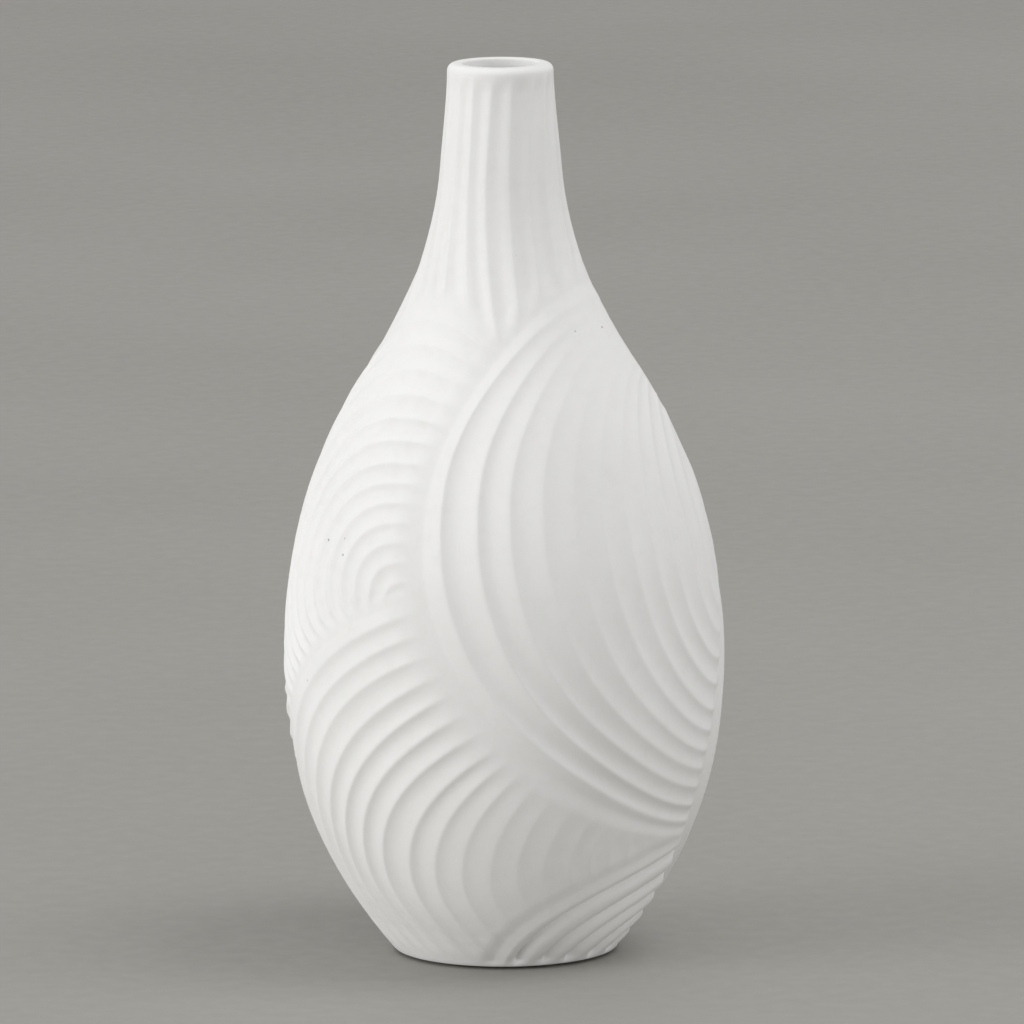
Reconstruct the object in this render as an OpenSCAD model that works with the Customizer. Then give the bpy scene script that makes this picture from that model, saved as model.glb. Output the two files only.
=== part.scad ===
// Ceramic bud vase: a slip-cast bisque shell, glazed inside, on four small foot pads.
// Millimetres, +Z up. The origin is on the vase's axis, on the plane that the pads stand on.
// The outline is the envelope that the carved ribs of the outer face are cut back from.

/* [Outline] */
// Height of the ceramic shell, from its foot ring to the top of its lip
shell_h = 240; // [232:1:260]
// Outer radius at the foot ring
foot_r = 30.1; // [29:0.1:33]
// Outward slope of the wall at the foot, in mm for each mm of height
foot_slope = 0.87; // [0.7:0.01:1]
// Height of the belly above the foot ring
belly_z = 79.5; // [72:0.5:88]
// Outer radius of the belly, the widest place
belly_r = 59.4; // [56:0.1:62]
// Height of the shoulder, where the outline turns from convex to concave
shoulder_z = 158.5; // [152:0.5:164]
// Outer radius at the shoulder
shoulder_r = 36.3; // [34:0.1:39]
// Slope of the wall at the shoulder, in mm for each mm of height
shoulder_slope = -0.66; // [-0.74:0.01:-0.58]
// Height of the neck's waist
neck_z = 212; // [206:0.5:216]
// Outer radius at the neck's waist
neck_r = 16.3; // [15.8:0.1:18]
// Slope of the wall at the neck's waist, in mm for each mm of height
neck_slope = -0.08; // [-0.12:0.01:-0.04]
// Outer radius of the rim
rim_r = 14.2; // [14.1:0.1:15.2]

/* [Wall] */
// Thickness of the slip-cast wall
wall = 3.5; // [3:0.1:4.2]
// Thickness of the floor, above the hollow under the foot
floor_t = 4.5; // [3.5:0.5:7]
// Radius of the cove where the floor meets the wall inside
cove_r = 7; // [5:0.5:9]

/* [Mouth] */
// Radius of the finished opening, inside the glaze
mouth_r = 9.8; // [9.5:0.1:10.6]
// Length of the straight throat, down from the top of the lip
throat_len = 16; // [12:1:20]
// Height over which the throat widens into the neck
throat_blend = 8; // [6:1:12]
// Radius of the lip's outer edge
lip_outer = 2; // [1.5:0.1:2.1]
// Radius of the lip's inner edge
lip_inner = 0.6; // [0.6:0.1:1.1]

/* [Glaze] */
// Thickness of the clear glaze on the inside
glaze_t = 0.4; // [0.3:0.05:0.5]
// Depth of the glaze line below the top of the lip
glaze_line = 3; // [2:0.5:5]

/* [Foot] */
// Radius of the rounded outer edge of the foot ring
foot_edge = 0.8; // [0.4:0.1:1.2]
// Width of the foot ring
ring_w = 4.6; // [3.5:0.1:5]
// Depth of the hollow inside the foot ring
hollow_depth = 1; // [0.6:0.1:1.5]

/* [Foot pads] */
// Radius of a foot pad
pad_r = 4.5; // [3:0.1:4.6]
// Radius of the circle that the pads stand on
pad_circle = 20; // [14:0.5:20]
// Height by which the pads stand below the foot ring
pad_stand = 0.8; // [0.4:0.1:1.5]
// Radius of a pad's lower edge
pad_edge = 0.5; // [0.2:0.1:0.7]

/* [Hidden] */
pad_count = 4;

$fn = 128;
wall_steps = 64;      // straight steps in the outline of each face of the wall
arc_steps = 6;        // straight steps in each rounded edge
slope_step = 0.5;     // half the height over which a slope is measured
first_pad_angle = 45; // the pads stand on the diagonals

bore_r = mouth_r + glaze_t;
pad_t = pad_stand + hollow_depth;
hollow_r = foot_r - foot_edge - ring_w;
floor_z = hollow_depth + floor_t;
neck_top_z = shell_h - throat_len - throat_blend;

// Height, radius and slope of the outer face at the places that set its form
stations = [
    [0, foot_r, foot_slope],
    [belly_z, belly_r, 0],
    [shoulder_z, shoulder_r, shoulder_slope],
    [neck_z, neck_r, neck_slope],
    [shell_h, rim_r, 0]
];

// The cubic that leaves r0 at slope m0 and reaches r1 at slope m1, a height h above
function cubic(t, h, r0, m0, r1, m1) =
    (2 * t ^ 3 - 3 * t ^ 2 + 1) * r0 + (t ^ 3 - 2 * t ^ 2 + t) * h * m0
    + (3 * t ^ 2 - 2 * t ^ 3) * r1 + (t ^ 3 - t ^ 2) * h * m1;

// Which pair of stations a height lies between
function stretch_at(z, i = 0) =
    z <= stations[i + 1][0] || i == len(stations) - 2 ? i : stretch_at(z, i + 1);

// Radius of the outer face at a height above the foot ring
function outer_r(z) =
    let (
        low = stations[stretch_at(z)],
        high = stations[stretch_at(z) + 1],
        h = high[0] - low[0]
    )
    cubic((z - low[0]) / h, h, low[1], low[2], high[1], high[2]);

function slope_at(z) = (outer_r(z + slope_step) - outer_r(z - slope_step)) / (2 * slope_step);

// Radius of a face that lies a depth inside the outer face, measured square to the wall
function inner_r(z, depth) = outer_r(z) - depth * sqrt(1 + slope_at(z) ^ 2);

// Points along an arc, from one angle to another
function arc(centre, r, from, to) = [
    for (i = [0 : arc_steps])
        let (a = from + (to - from) * i / arc_steps)
        centre + r * [cos(a), sin(a)]
];

// Rounded outer edge of the foot, which meets the sloping wall smoothly
foot_lean = atan(foot_slope);
foot_edge_top = foot_edge * (1 - sin(foot_lean));
foot_centre = [outer_r(foot_edge_top) - foot_edge * cos(foot_lean), foot_edge];

// Cove between the floor and the wall
cove_lean = atan(slope_at(floor_z + cove_r / 2));
cove_top = floor_z + cove_r * (1 - sin(cove_lean));
cove_centre = [inner_r(cove_top, wall) - cove_r * cos(cove_lean), floor_z + cove_r];

// Outer face, from the foot's edge up to the lip
function outer_face() = [
    for (i = [1 : wall_steps - 1])
        let (z = foot_edge_top + (shell_h - lip_outer - foot_edge_top) * i / wall_steps)
        [outer_r(z), z]
];

// A face inside the wall, from the bottom of the throat down to the floor's middle;
// skin is the thickness of what already covers the wall there
function cavity_face(skin) = [
    [bore_r - skin, shell_h - throat_len],
    for (i = [0 : wall_steps - 1])
        let (z = neck_top_z + (cove_top - neck_top_z) * i / wall_steps)
        [inner_r(z, wall + skin), z],
    each arc(cove_centre, cove_r - skin, -cove_lean, -90),
    [0, floor_z + skin]
];

// Points given from the top down, turned round so that they run from the bottom up
function turned(points) = [for (i = [len(points) - 1 : -1 : 0]) points[i]];

module vase_body() {
    color([0.90, 0.89, 0.87])
    translate([0, 0, pad_stand])
    rotate_extrude()
    polygon([
        each arc(foot_centre, foot_edge, -90, -foot_lean),
        each outer_face(),
        each arc([rim_r - lip_outer, shell_h - lip_outer], lip_outer, 0, 90),
        each arc([bore_r + lip_inner, shell_h - lip_inner], lip_inner, 90, 180),
        each cavity_face(0),
        [0, hollow_depth],
        [hollow_r, hollow_depth],
        [hollow_r, 0]
    ]);
}

module interior_glaze() {
    color([0.95, 0.94, 0.91])
    translate([0, 0, pad_stand])
    rotate_extrude()
    polygon([
        [bore_r, shell_h - glaze_line],
        each cavity_face(0),
        each turned(cavity_face(glaze_t)),
        [bore_r - glaze_t, shell_h - glaze_line - glaze_t]
    ]);
}

module foot_pad(number) {
    color([0.80, 0.79, 0.76])
    rotate([0, 0, first_pad_angle + 360 * (number - 1) / pad_count])
    translate([pad_circle, 0, 0])
    rotate_extrude()
    polygon([
        [0, 0],
        each arc([pad_r - pad_edge, pad_edge], pad_edge, -90, 0),
        [pad_r, pad_t],
        [0, pad_t]
    ]);
}

vase_body();
interior_glaze();
for (i = [1 : pad_count])
    foot_pad(i);
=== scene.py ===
"""Ceramic bud vase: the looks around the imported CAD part. Metres, +Z up, the front faces -Y."""

import math
import bpy
import numpy as np
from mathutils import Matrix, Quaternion, Vector


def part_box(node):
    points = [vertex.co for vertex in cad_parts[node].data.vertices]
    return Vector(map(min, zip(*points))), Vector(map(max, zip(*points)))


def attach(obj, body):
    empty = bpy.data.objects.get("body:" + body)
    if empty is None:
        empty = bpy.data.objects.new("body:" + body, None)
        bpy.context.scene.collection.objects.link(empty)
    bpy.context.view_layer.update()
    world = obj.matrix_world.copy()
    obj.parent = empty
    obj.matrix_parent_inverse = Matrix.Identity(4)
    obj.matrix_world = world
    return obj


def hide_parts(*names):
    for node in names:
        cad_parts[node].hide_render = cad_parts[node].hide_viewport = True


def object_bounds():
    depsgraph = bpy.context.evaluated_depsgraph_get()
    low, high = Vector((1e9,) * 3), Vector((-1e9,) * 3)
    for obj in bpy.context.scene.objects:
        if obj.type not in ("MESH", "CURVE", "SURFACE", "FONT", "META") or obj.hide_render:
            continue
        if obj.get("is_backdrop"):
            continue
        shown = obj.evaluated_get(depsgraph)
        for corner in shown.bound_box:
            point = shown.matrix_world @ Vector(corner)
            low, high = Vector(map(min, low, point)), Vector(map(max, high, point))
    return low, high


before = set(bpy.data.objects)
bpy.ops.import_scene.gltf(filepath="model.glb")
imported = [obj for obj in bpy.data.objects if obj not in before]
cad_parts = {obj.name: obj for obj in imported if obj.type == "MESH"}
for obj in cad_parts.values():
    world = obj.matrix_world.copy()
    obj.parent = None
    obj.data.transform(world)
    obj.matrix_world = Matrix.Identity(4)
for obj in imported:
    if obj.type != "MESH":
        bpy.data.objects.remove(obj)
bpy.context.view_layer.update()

MM = 0.001

# --- Relief of the outer face ---------------------------------------------------------------
# The ribs lie in overlapping fans. Each fan is a nested family of arcs, numbered from its border
# inwards: each whole number lies on one rib's steep side, close to its crest. All heights are in
# millimetres above the foot ring, and all places round the vase in degrees, 0 in front and
# positive to the right.
#
# "rows"    each fixes one arc: its number, the places of its left end and its middle, the height
#           of both, and the heights of the top and the bottom of its middle
# "up"      how square the arcs' upper halves are: 2 is an ellipse
# "down"    how square their lower halves are
# "lean"    if given: at some numbers, how far to the right of its middle an arc's top lies
# "right"   if given: how wide the arcs' right halves are beside their left halves
# "steep"   the share of a rib's width that its steep side takes
# "lead"    at some numbers, how far before its whole number a rib's crest lies
# "groove"  instead of these two, for round ribs with a sharp groove at each whole number: how
#           round the groove's outer and inner sides are
# "depth"   at some numbers, the depth of the ribs in millimetres at the bottom, half way up and
#           at the top of the arc
# "border"  at the same three places, the depth of the valley round the fan, and in ribs, how far
#           outside the fan it wears down what lies below, and where its floor is
# "foot"    the heights at which the ribs start, and at which they have their full depth
FANS = {
    "back_high": {
        "rows": [
            (0, -222, -150, 118, 188, 50),
            (2, -205, -150, 118, 174, 62),
            (6, -177, -148, 116, 148, 84),
            (9, -156, -147, 116, 128, 100),
            (10, -150, -147, 116, 119, 112),
        ],
        "up": 2.3, "down": 2.0,
        "steep": 0.42, "lead": [(0, 0.1)], "foot": (1, 4),
        "depth": [(0, 1.0, 1.0, 0.4), (3, 0.9, 0.9, 0.4), (10, 0.5, 0.5, 0.3)],
        "border": [(0.8, 1.0, 0.35), (0.8, 1.0, 0.35), (0.3, 1.0, 0.35)],
    },
    "back_low": {
        "rows": [
            (0, 138, 255, 95, 142, -12),
            (1, 145, 255, 95, 138, -8),
            (18, 250, 255, 95, 99, 88),
        ],
        "up": 2.0, "down": 2.0,
        "steep": 0.42, "lead": [(0, 0.1)], "foot": (1, 10),
        "depth": [(0, 0.9, 1.2, 0.5), (6, 0.9, 1.1, 0.5), (18, 0.5, 0.6, 0.4)],
        "border": [(0.8, 1.0, 0.35), (0.8, 1.0, 0.35), (0.3, 1.0, 0.35)],
    },
    "left": {
        "rows": [
            (0, -114, -43, 108, 178, 62),
            (1, -108, -42, 108, 173, 65),
            (4, -86, -38, 108, 154.5, 74),
            (7, -67, -34, 108, 137.7, 84),
            (9, -54, -32, 107, 127.7, 90),
            (13, -32.5, -27, 103.5, 107.5, 99.5),
            (14, -27, -26, 102.5, 103.5, 101.5),
        ],
        "up": 2.2, "down": 2.0,
        "steep": 0.52, "lead": [(0, 0.1)], "foot": (1, 4),
        "depth": [(0, 0.4, 1.7, 0.4), (3, 0.4, 1.7, 0.6), (5, 0.4, 1.5, 1.1), (6, 0.3, 1.3, 1.1),
                  (7, 0.2, 1.1, 1.0), (9, 0.2, 0.8, 0.7), (14, 0.3, 0.5, 0.45)],
        "border": [(0.8, 1.0, 0.35), (0.8, 1.0, 0.35), (0.3, 1.0, 0.35)],
    },
    "low_left": {
        "rows": [
            (0, -94, -10, 25, 107.3, -40),
            (1, -86, 0, 25, 104.3, -36),
            (3, -70, 0, 25, 92.6, -30),
            (5, -56, 60, 25, 99.3, -24),
            (7, -40.5, 60, 25, 86.8, -18),
            (8, -30.5, 60, 25, 82.8, -16),
            (11, -4, 60, 27, 76.3, -2),
            (12, 4.5, 60, 29, 72.8, 5),
            (14, 21, 60, 32, 59, 12),
            (18, 47, 60, 36, 46, 24),
            (19, 53, 60, 36, 42, 30),
        ],
        "up": 1.8, "down": 2.0,
        "steep": 0.42, "lead": [(0, 0.08)], "foot": (1, 10),
        "depth": [(0, 0.9, 1.2, 0.4), (4, 0.9, 1.2, 0.5), (5, 0.9, 1.1, 0.65), (8, 0.8, 0.9, 0.5),
                  (9, 0.5, 0.55, 0.4), (10, 0.35, 0.35, 0.3), (11, 0.2, 0.2, 0.2),
                  (13, 0.2, 0.2, 0.2), (14, 0.4, 0.4, 0.4), (19, 0.4, 0.4, 0.4)],
        "border": [(0.5, 0.5, 0.3), (0.5, 0.5, 0.3), (0.5, 0.5, 0.3)],
    },
    "foot_right": {
        "rows": [
            (0, -8.5, 80, -5, 34, -45),
            (1, 1.8, 80, -5, 29, -40),
            (2, 15.8, 80, -5, 22.3, -35),
            (3, 27.8, 80, -5, 17, -30),
            (4, 42.3, 80, -5, 11.3, -25),
            (5, 56.3, 80, -5, 6.3, -20),
            (6, 69.5, 80, -5, 1.5, -15),
        ],
        "up": 1.7, "down": 1.7,
        "groove": (0.3, 0.5), "foot": (-1, 2),
        "depth": [(0, 3.3, 3.3, 3.3), (6, 3.3, 3.3, 3.3)],
        "border": [(0.5, 1.2, 0.0), (0.5, 1.2, 0.0), (0.5, 1.2, 0.0)],
    },
    "right": {
        "rows": [
            (0, -27, 78, 123, 184, 34.5),
            (1, -17.5, 78, 128, 178, 36.5),
            (2, -6.5, 78, 126, 174.7, 40.5),
            (5, 21.5, 78, 121, 165, 55.5),
            (7, 38.5, 78, 118, 159.5, 66.5),
            (9, 54.5, 78, 115, 154, 80.5),
            (11, 72, 80, 113, 146, 94),
            (12, 79, 82, 113, 130, 105),
        ],
        "up": 2.4, "down": 2.0,
        "lean": [(5, 0), (8, 8), (9, 12), (12, 18)], "right": 0.45,
        "steep": 0.42, "lead": [(3, 0.07), (6, -0.03)], "foot": (1, 4),
        "depth": [(0, 0.65, 1.4, 0.02), (2, 0.55, 1.1, 0.02),
                  (3, 0.4, 0.6, 0.02), (4, 0.35, 0.4, 0.02), (5, 0.4, 0.3, 0.02),
                  (7, 0.45, 0.5, 0.05), (8, 0.5, 0.7, 0.2), (9, 0.5, 0.8, 0.3),
                  (9.7, 0.3, 0.8, 0.3), (12, 0.25, 0.8, 0.3)],
        "border": [(0.4, 3.0, 0.5), (1.1, 1.0, 0.35), (0.3, 0.9, 0.35)],
    },
    "back_right": {
        "rows": [
            (0, 73, 165, 40, 140, -20),
            (1, 81, 165, 40, 133, -14),
            (11, 160, 165, 40, 50, 36),
        ],
        "up": 2.0, "down": 2.0,
        "steep": 0.42, "lead": [(0, 0.1)], "foot": (1, 8),
        "depth": [(0, 1.0, 1.0, 1.0), (11, 0.7, 0.7, 0.7)],
        "border": [(1.4, 0.3, 0.1), (1.2, 0.3, 0.1), (0.0, 0.3, 0.1)],
    },
}
# The fans from the lowest to the uppermost, and the degrees that each is laid between. They
# overlap all the way round, so the one that lies under "back_low" and over "right" is laid again
# at the end, on its left part only.
FAN_ORDER = [
    ("back_high", -180, 180), ("back_right", -180, 180), ("back_low", -180, 180),
    ("left", -180, 180), ("low_left", -180, 100), ("foot_right", -180, 100),
    ("right", -180, 180), ("back_right", 0, 129),
]
SEARCH_STEPS = 15      # halvings in the search for a point's number in a fan
STEEP_EDGE = 0.8       # form of a rib's steep side: less is a sharper fall from the crest,
EASY_EDGE = 1.15       # and more, as on its easy side, a rounder one
TURN_FROM = 0.25       # how far down an arc's lower half the steep side starts to change over
TURN_TO = 0.75         # to the rib's outer side, and how far down it has done so
UNDER_LAG = 0.06       # how much further inwards the crests lie in a fan's lower half, in ribs
VALLEY_SIDE = 0.7      # width of the outer side of the valley round a fan, in ribs
WORN_AWAY = 0.2        # the number by which nothing is left of what lies below, at the latest
BAND_EDGE = 1.2        # 1 is a straight rise from the valley's floor to the first crest
FOOT_FADE = 2.0        # millimetres above the foot ring where the relief has its full depth
LIP_FADE = 7.0         # millimetres below the lip's top where it starts to fade,
LIP_PLAIN = 1.5        # and where it ends

# Where the shaded side of each flute of the neck lies, in degrees: at the shoulder, at the waist
# and under the lip
FLUTES = [
    (-50, -64, -66), (-37, -46, -46), (-18, -29, -27), (-4, -11, -5), (13, 12, 17),
    (28, 31, 41), (45, 51, 61), (63, 71, 80), (84, 91, 98), (106, 111, 116), (129, 131, 134),
    (151, 151, 153), (174, 171, 172), (196, 191, 192), (219, 211, 212), (242, 231, 232),
    (264, 251, 252), (287, 271, 272),
]
FLUTE_HEIGHTS = (180, 208, 236)   # of those three places, in millimetres above the foot ring
FLUTE_BEND = 1.5       # 1 is a straight run from the waist, more is one that turns later
FLUTE_LEAD = 0.2       # how far before its shaded side a flute's crest lies, in flutes
FLUTE_DEPTH = 0.43     # millimetres, on the neck
FLUTE_DEPTH_LOW = 0.8  # at the shoulder
FLUTES_FROM = 140      # lowest height that they reach, in millimetres
FLUTES_FULL = 160      # height at which they have their full depth
FLUTE_SCOOP = 1.5      # 1 is a sharp crest and 2 a round one

# --- The body's mesh ------------------------------------------------------------------------
COLUMNS = 900           # directions round the vase
RELIEF_STEP = 0.46 * MM   # between rings on the outer face
PLAIN_STEP = 2.0 * MM   # between rings on the faces with no relief
DECIMALS = 6            # of the metre, to which a place on the outline is rounded
RING_GAP = 0.005 * MM   # points closer than this are one ring
CORNER = math.radians(35)   # where the outline turns by more than this, it keeps its corner


def smooth(low, high, x):
    """0 below low, 1 above high, and a smooth rise between."""
    t = np.clip((x - low) / (high - low), 0, 1)
    return t * t * (3 - 2 * t)


def fan_place(fan, theta, z):
    """The number of the fan's arc through each point, below 0 outside the fan, and how far up
    that arc the point lies: -1 at its bottom, 0 half way up and 1 at its top."""
    rows = np.array(fan["rows"], float)
    step = rows[0] - rows[1]
    rows = np.vstack([rows[0] + 2 * step, rows[0] + step, rows])   # two more arcs outside it
    numbers = rows[:, 0]
    low = np.full(theta.shape, numbers[0])
    high = np.full(theta.shape, numbers[-1])
    for _ in range(SEARCH_STEPS):
        mid = (low + high) / 2
        left, middle, centre, top, bottom = (
            np.interp(mid, numbers, rows[:, i]) for i in range(1, 6)
        )
        above = z > centre
        along = np.where(above, (z - centre) / (top - centre), (centre - z) / (centre - bottom))
        if "lean" in fan:
            lean = np.interp(mid, *zip(*fan["lean"]))
            middle = middle + lean * np.clip(along, 0, 1) * above
        across = ((theta - middle + 180) % 360 - 180) / (middle - left)
        across = np.where(across > 0, across / fan.get("right", 1), -across)
        power = np.where(above, fan["up"], fan["down"])
        inside = across ** power + along ** power < 1
        low = np.where(inside, mid, low)
        high = np.where(inside, high, mid)
    rise = np.clip(along, 0, 1) ** power
    return (low + high) / 2, np.where(above, rise, -rise)


def at_rise(rise, low, middle, high):
    """A value that is given at the bottom, half way up and at the top of an arc."""
    return np.where(rise > 0, middle + (high - middle) * np.sqrt(np.abs(rise)),
                    middle + (low - middle) * np.abs(rise))


def sharp_crests(fan, number, rise):
    """How low ribs with sharp crests lie, from 0 at a crest to 1, and where their crests are.
    Their steep side faces right and down, so it is the outer side in a fan's lower half."""
    under = smooth(TURN_FROM, TURN_TO, -rise)
    lead = np.interp(number, *zip(*fan["lead"])) * (1 - 2 * under) - UNDER_LAG * under
    inner = fan["steep"] + (1 - 2 * fan["steep"]) * under
    phase = (number + lead) % 1
    on_inner = phase < inner
    side = np.where(on_inner, phase / inner, (1 - phase) / (1 - inner))
    edge = STEEP_EDGE + (EASY_EDGE - STEEP_EDGE) * np.where(on_inner, under, 1 - under)
    return np.sin(np.pi / 2 * side) ** edge, 1 - lead


def sharp_grooves(number, outer_edge, inner_edge):
    """The same for round ribs with sharp grooves between them."""
    phase = number % 1
    edge = np.where(phase < 0.5, inner_edge, outer_edge)
    return 1 - np.sin(np.pi * phase) ** edge, 0.5


def lay_fan(below, fan, theta, z):
    """The relief's height after one fan is laid over what is there, in millimetres, 0 or less."""
    number, rise = fan_place(fan, theta, z)
    numbers, *depths = np.array(fan["depth"], float).T
    depth = at_rise(rise, *(np.interp(number, numbers, given) for given in depths))
    depth = depth * smooth(*fan["foot"], z)
    dip, reach, floor = (at_rise(rise, *column) for column in zip(*fan["border"]))
    if "groove" in fan:
        low, crest = sharp_grooves(number, *fan["groove"])
    else:
        low, crest = sharp_crests(fan, number, rise)
    worn = below * (1 - smooth(-reach, np.minimum(floor, WORN_AWAY), number))
    outside = worn - dip * smooth(-VALLEY_SIDE, floor, number)
    band = -dip * (1 - np.clip((number - floor) / (crest - floor), 0, 1) ** BAND_EDGE)
    return np.where(number < floor, outside, np.where(number < crest, band, -depth * low))


def neck_flutes(theta, z):
    """The flutes that run down the neck and out over the shoulder."""
    shoulder, waist, lip = np.array(FLUTES, float).T
    low, middle, high = FLUTE_HEIGHTS
    count = len(FLUTES)
    height = np.zeros(theta.shape)
    for row in range(len(z)):
        level = z[row, 0]
        if level < FLUTES_FROM:
            continue
        down = max(0, (middle - level) / (middle - low)) ** FLUTE_BEND
        up = max(0, (level - middle) / (high - middle)) ** FLUTE_BEND
        edges = waist + (shoulder - waist) * down + (lip - waist) * up
        edges = np.concatenate([edges - 360, edges, edges + 360])
        number = np.interp(theta[row], edges, np.arange(3 * count)) + FLUTE_LEAD
        depth = FLUTE_DEPTH + (FLUTE_DEPTH_LOW - FLUTE_DEPTH) * min(1, down)
        depth = depth * smooth(FLUTES_FROM, FLUTES_FULL, level)
        height[row] = -depth * np.abs(np.sin(np.pi * number)) ** FLUTE_SCOOP
    return height


def soften(height):
    """Rounds the crests a little. The columns wrap round the vase."""
    height = (np.roll(height, 1, 1) + 2 * height + np.roll(height, -1, 1)) / 4
    middle = (height[:-2] + 2 * height[1:-1] + height[2:]) / 4
    return np.vstack([height[:1], middle, height[-1:]])


def relief(theta, z, top):
    """Height of the relief above the CAD outline on a grid of points, in millimetres, 0 or less.
    The grid gives degrees round the vase and the height above the foot ring."""
    height = neck_flutes(theta, z)
    for name, start, end in FAN_ORDER:
        laid = lay_fan(height, FANS[name], theta, z)
        height = np.where((theta >= start) & (theta <= end), laid, height)
    fade = smooth(0, FOOT_FADE, z) * (1 - smooth(top - LIP_FADE, top - LIP_PLAIN, z))
    return soften(height) * fade


def outline_rings(node):
    """The wall's outline as the frame gives it: (radius, height) of each ring of its mesh, in
    order from the rim of the hollow underneath, up the outside and down the inside."""
    mesh = node.data
    points = np.zeros(len(mesh.vertices) * 3)
    mesh.vertices.foreach_get("co", points)
    points = points.reshape(-1, 3)
    flat = np.column_stack([np.hypot(points[:, 0], points[:, 1]), points[:, 2]])
    keys, of_vertex = np.unique(np.round(flat, DECIMALS), axis=0, return_inverse=True)
    near = np.linalg.norm(keys[:, None] - keys[None], axis=2) < RING_GAP
    ring = near.argmax(axis=1)[of_vertex.ravel()]
    edges = np.zeros(len(mesh.edges) * 2, int)
    mesh.edges.foreach_get("vertices", edges)
    linked = {}
    for a, b in np.unique(ring[edges.reshape(-1, 2)], axis=0):
        if a != b:
            linked.setdefault(a, set()).add(b)
            linked.setdefault(b, set()).add(a)
    ends = [k for k, v in linked.items() if len(v) == 1]
    walk = [min(ends, key=lambda k: keys[k][1])]
    while True:
        onward = [k for k in linked[walk[-1]] if k not in walk[-2:]]
        if not onward:
            break
        walk.append(onward[0])
    return keys[walk]


def through(points, steps):
    """A smooth curve through the points, with a number of steps between each two."""
    chords = np.diff(points, axis=0)
    lengths = np.linalg.norm(chords, axis=1)
    ways = chords / lengths[:, None]
    before = np.vstack([ways[:1], ways])
    after = np.vstack([ways, ways[-1:]])
    near = np.concatenate([lengths[:1], lengths])[:, None]
    far = np.concatenate([lengths, lengths[-1:]])[:, None]
    blended = (before * far + after * near) / (near + far)
    corner = (before * after).sum(axis=1)[:, None] < math.cos(CORNER)
    leave = np.where(corner, after, blended)
    reach = np.where(corner, before, blended)
    made = []
    for i, count in enumerate(steps):
        t = (np.arange(count) / count)[:, None]
        made.append(
            (2 * t ** 3 - 3 * t ** 2 + 1) * points[i]
            + (t ** 3 - 2 * t ** 2 + t) * lengths[i] * leave[i]
            + (3 * t ** 2 - 2 * t ** 3) * points[i + 1]
            + (t ** 3 - t ** 2) * lengths[i] * reach[i + 1]
        )
    return np.vstack(made + [points[-1:]])


def body_points():
    """The finished wall as a grid of points, one row for each ring and one column for each
    direction round the vase."""
    rings = outline_rings(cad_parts["vase_body"])
    top = int(rings[:, 1].argmax())
    start = 2    # the outer edge of the foot ring's flat underside
    lengths = np.linalg.norm(np.diff(rings, axis=0), axis=1)
    outer = (np.arange(len(lengths)) >= start) & (np.arange(len(lengths)) < top)
    steps = np.ceil(lengths / np.where(outer, RELIEF_STEP, PLAIN_STEP)).astype(int)
    path = through(rings, steps)
    first, last = steps[:start].sum(), steps[:top].sum()
    carved = path[first:last + 1]
    along = np.gradient(carved, axis=0)
    out = np.column_stack([along[:, 1], -along[:, 0]])
    out /= np.linalg.norm(out, axis=1)[:, None]
    angle = np.arange(COLUMNS) * 2 * math.pi / COLUMNS
    foot_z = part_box("vase_body")[0].z
    height = (carved[:, 1] - foot_z) / MM
    theta, z = np.meshgrid((np.degrees(angle) + 180) % 360 - 180, height)
    depth = relief(theta, z, height.max()) * MM
    radius = np.repeat(path[:, :1], COLUMNS, axis=1)
    level = np.repeat(path[:, 1:], COLUMNS, axis=1)
    radius[first:last + 1] += depth * out[:, :1]
    level[first:last + 1] += depth * out[:, 1:]
    return np.stack([radius * np.sin(angle), -radius * np.cos(angle), level], axis=-1)


def closed_mesh(name, points):
    """A closed mesh from a grid whose columns wrap round and whose first and last rows are
    filled in with fans of triangles."""
    rows, columns = points.shape[:2]
    index = np.arange(rows * columns).reshape(rows, columns)
    beside = np.roll(index, -1, axis=1)
    quads = np.stack([index[:-1], beside[:-1], beside[1:], index[1:]], axis=-1).reshape(-1, 4)
    centres = np.array([points[0].mean(axis=0), points[-1].mean(axis=0)])
    under, over = rows * columns, rows * columns + 1
    caps = np.vstack([
        np.column_stack([beside[0], index[0], np.full(columns, under)]),
        np.column_stack([index[-1], beside[-1], np.full(columns, over)]),
    ])
    mesh = bpy.data.meshes.new(name)
    vertices = np.vstack([points.reshape(-1, 3), centres])
    mesh.vertices.add(len(vertices))
    mesh.vertices.foreach_set("co", vertices.ravel())
    corners = np.concatenate([quads.ravel(), caps.ravel()])
    mesh.loops.add(len(corners))
    mesh.loops.foreach_set("vertex_index", corners)
    starts = np.concatenate([
        np.arange(len(quads)) * 4,
        len(quads) * 4 + np.arange(len(caps)) * 3,
    ])
    mesh.polygons.add(len(starts))
    mesh.polygons.foreach_set("loop_start", starts)
    mesh.update(calc_edges=True)
    mesh.validate()
    mesh.polygons.foreach_set("use_smooth", np.ones(len(starts), bool))
    return mesh


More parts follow.
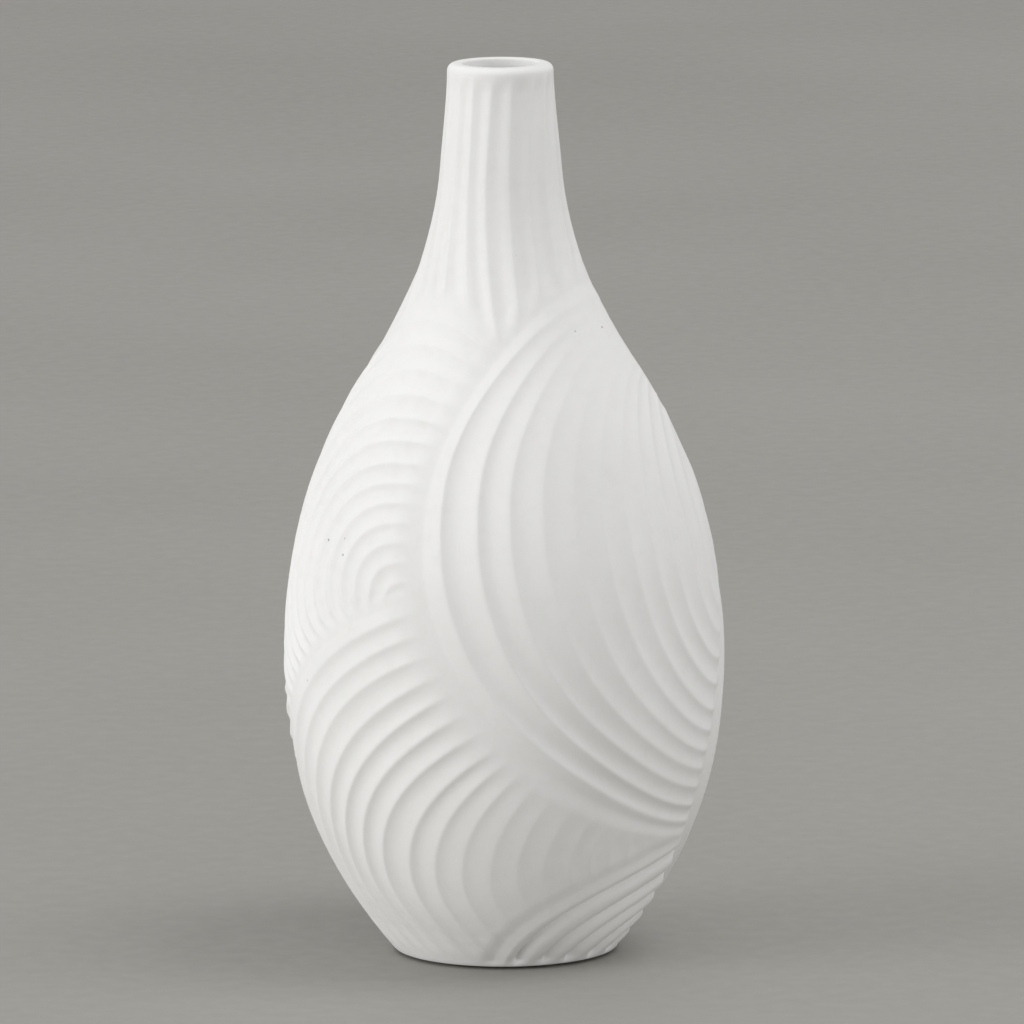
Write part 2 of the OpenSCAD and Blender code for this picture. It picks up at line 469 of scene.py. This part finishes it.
# --- Materials ------------------------------------------------------------------------------
class Nodes:
    """A material's node tree, with short calls to add nodes to it."""

    def __init__(self, name):
        self.material = bpy.data.materials.new(name)
        self.material.use_nodes = True
        self.tree = self.material.node_tree
        self.shader = self.tree.nodes["Principled BSDF"]
        self.place = self.add("ShaderNodeTexCoord").outputs["Object"]

    def add(self, kind, inputs=(), **settings):
        node = self.tree.nodes.new(kind)
        for key, value in settings.items():
            setattr(node, key, value)
        for key, value in dict(inputs).items():
            if isinstance(value, bpy.types.NodeSocket):
                self.tree.links.new(value, node.inputs[key])
            else:
                node.inputs[key].default_value = value
        return node

    def noise(self, scale, detail=3, rough=0.5, place=None):
        return self.add("ShaderNodeTexNoise", {
            "Vector": place or self.place, "Scale": scale, "Detail": detail, "Roughness": rough,
        }).outputs["Fac"]

    def spread(self, value, low, high, to_low=0.0, to_high=1.0):
        return self.add("ShaderNodeMapRange", {
            "Value": value, "From Min": low, "From Max": high,
            "To Min": to_low, "To Max": to_high,
        }).outputs["Result"]

    def mix(self, share, first, second):
        node = self.add("ShaderNodeMix", data_type="RGBA")
        for key, value in (("Factor", share), ("A", first), ("B", second)):
            socket = next(s for s in node.inputs if s.name == key and s.enabled)
            if isinstance(value, bpy.types.NodeSocket):
                self.tree.links.new(value, socket)
            else:
                socket.default_value = value
        return next(s for s in node.outputs if s.enabled)

    def bump(self, height, distance, strength, after=None):
        inputs = {"Height": height, "Distance": distance, "Strength": strength}
        if after is not None:
            inputs["Normal"] = after
        return self.add("ShaderNodeBump", inputs).outputs["Normal"]

    def finish(self, **sockets):
        for key, value in sockets.items():
            socket = self.shader.inputs[key.replace("_", " ")]
            if isinstance(value, bpy.types.NodeSocket):
                self.tree.links.new(value, socket)
            else:
                socket.default_value = value
        return self.material


def bisque_material():
    """Unglazed white clay: matt, a little uneven, with a fine grain and a few dark specks."""
    n = Nodes("bisque_clay")
    cloud = n.noise(14, 4, 0.6)
    colour = n.mix(n.spread(cloud, 0.35, 0.65), (0.80, 0.795, 0.785, 1), (0.845, 0.842, 0.838, 1))
    mottle = n.noise(260, 3, 0.6)
    colour = n.mix(n.spread(mottle, 0.5, 0.78, 0, 0.25), colour, (0.74, 0.725, 0.70, 1))
    speck = n.add("ShaderNodeTexVoronoi", {"Vector": n.place, "Scale": 210.0, "Randomness": 1.0})
    small = n.spread(speck.outputs["Distance"], 0.045, 0.09, 1, 0)
    rare = n.spread(n.noise(33, 2), 0.64, 0.68)
    share = n.add("ShaderNodeMath", {0: small, 1: rare}, operation="MULTIPLY").outputs[0]
    colour = n.mix(share, colour, (0.30, 0.28, 0.25, 1))
    grain = n.noise(1400, 2, 0.7)
    tool = n.noise(120, 3, 0.5)
    normal = n.bump(tool, 0.00025, 0.35)
    normal = n.bump(grain, 0.00006, 0.5, normal)
    rough = n.spread(mottle, 0.3, 0.7, 0.52, 0.66)
    return n.finish(Base_Color=colour, Roughness=rough, Normal=normal, Specular_IOR_Level=0.35)


def glaze_material():
    """Clear gloss glaze over white clay, with faint pooling."""
    n = Nodes("clear_gloss_glaze")
    pool = n.noise(60, 3, 0.55)
    colour = n.mix(n.spread(pool, 0.35, 0.7), (0.88, 0.86, 0.80, 1), (0.80, 0.78, 0.71, 1))
    rough = n.spread(n.noise(220, 2), 0.3, 0.7, 0.06, 0.14)
    normal = n.bump(n.noise(90, 2), 0.0004, 0.4)
    return n.finish(Base_Color=colour, Roughness=rough, Normal=normal, IOR=1.5)


def bumper_material():
    """Cloudy silicone of the foot pads."""
    n = Nodes("bumper_silicone")
    cloud = n.noise(300, 3, 0.6)
    colour = n.mix(n.spread(cloud, 0.3, 0.7), (0.42, 0.42, 0.41, 1), (0.52, 0.52, 0.50, 1))
    rough = n.spread(n.noise(900, 2), 0.3, 0.7, 0.32, 0.46)
    normal = n.bump(n.noise(1800, 2), 0.00004, 0.4)
    return n.finish(Base_Color=colour, Roughness=rough, Normal=normal)


def floor_material():
    """Matt pale floor with a faint cloud in it."""
    n = Nodes("pale_floor")
    cloud = n.noise(3, 3, 0.5)
    colour = n.mix(n.spread(cloud, 0.3, 0.7), (0.30, 0.29, 0.265, 1), (0.33, 0.32, 0.295, 1))
    rough = n.spread(n.noise(160, 3), 0.3, 0.7, 0.55, 0.68)
    return n.finish(Base_Color=colour, Roughness=rough)


def dress(node, material):
    """Gives a carried-over CAD node its material."""
    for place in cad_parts[node].material_slots:
        place.material = material


# --- The object -----------------------------------------------------------------------------
def build_body():
    """The ribbed shell that stands for the CAD's smooth one."""
    mesh = closed_mesh("vase_shell", body_points())
    body = bpy.data.objects.new("vase_shell", mesh)
    bpy.context.scene.collection.objects.link(body)
    mesh.materials.append(bisque_material())
    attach(body, "root")
    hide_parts("vase_body")


def dress_nodes():
    dress("interior_glaze", glaze_material())
    bumper = bumper_material()
    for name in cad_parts:
        if name.startswith("foot_pad"):
            dress(name, bumper)


# --- Stage ----------------------------------------------------------------------------------
def build_floor(reach=6.0):
    mesh = bpy.data.meshes.new("floor")
    mesh.from_pydata(
        [(-reach, -reach, 0), (reach, -reach, 0), (reach, reach, 0), (-reach, reach, 0)],
        [], [(0, 1, 2, 3)],
    )
    floor = bpy.data.objects.new("floor", mesh)
    bpy.context.scene.collection.objects.link(floor)
    mesh.materials.append(floor_material())
    floor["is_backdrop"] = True


LIGHT_DISTANCE = 3.8         # metres from the vase's middle
LIGHT_SIDE = 1.8             # metres
KEY_POWER = 88.0             # watts
SIDE_POWER = 18.5
FILL_POWER = 38.8
SKY = 0.635                  # strength of the even light from all round


def soft_lamp(name, azimuth, elevation, power):
    """A soft square lamp that looks at the vase, from azimuth degrees to the right of the front
    and elevation degrees up."""
    centre = Vector((0, 0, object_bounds()[1].z / 2))
    turn, rise = math.radians(azimuth), math.radians(elevation)
    way = Vector((math.sin(turn) * math.cos(rise), -math.cos(turn) * math.cos(rise),
                  math.sin(rise)))
    light = bpy.data.lights.new(name, "AREA")
    light.shape = "SQUARE"
    light.size = LIGHT_SIDE
    light.energy = power
    lamp = bpy.data.objects.new(name, light)
    lamp.location = centre + way * LIGHT_DISTANCE
    lamp.rotation_euler = (-way).to_track_quat("-Z", "Y").to_euler()
    bpy.context.scene.collection.objects.link(lamp)


def build_light():
    soft_lamp("key", -70, 8, KEY_POWER)
    soft_lamp("side", 50, 8, SIDE_POWER)
    soft_lamp("fill", 80, 62, FILL_POWER)
    world = bpy.data.worlds.new("studio")
    world.use_nodes = True
    background = world.node_tree.nodes["Background"]
    background.inputs["Color"].default_value = (1.0, 1.0, 1.0, 1)
    background.inputs["Strength"].default_value = SKY
    bpy.context.scene.world = world
    bpy.context.scene.view_settings.view_transform = "Standard"


DISTANCE_IN_HEIGHTS = 12     # how far the camera stands, in heights of the shell
LOOK_DOWN = 9.528            # degrees
LENS = 376.95                # millimetres
SENSOR = 36
AIM_RIGHT = 2.4 * MM
AIM_DOWN = 1.6 * MM
ROLL = 0.35                  # degrees


def build_camera():
    low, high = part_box("vase_body")
    tall = high.z - low.z
    tilt = math.radians(LOOK_DOWN)
    aim = Vector((AIM_RIGHT, 0, (low.z + high.z) / 2 - AIM_DOWN))
    back = Vector((0, -math.cos(tilt), math.sin(tilt)))
    data = bpy.data.cameras.new("camera")
    data.lens = LENS
    data.sensor_width = SENSOR
    data.clip_start, data.clip_end = 0.05, 50
    camera = bpy.data.objects.new("camera", data)
    camera.location = aim + back * DISTANCE_IN_HEIGHTS * tall
    turn = (-back).to_track_quat("-Z", "Y")
    camera.rotation_mode = "QUATERNION"
    camera.rotation_quaternion = turn @ Quaternion((0, 0, 1), math.radians(-ROLL))
    bpy.context.scene.collection.objects.link(camera)
    bpy.context.scene.camera = camera


build_body()
dress_nodes()
build_floor()
build_light()
build_camera()
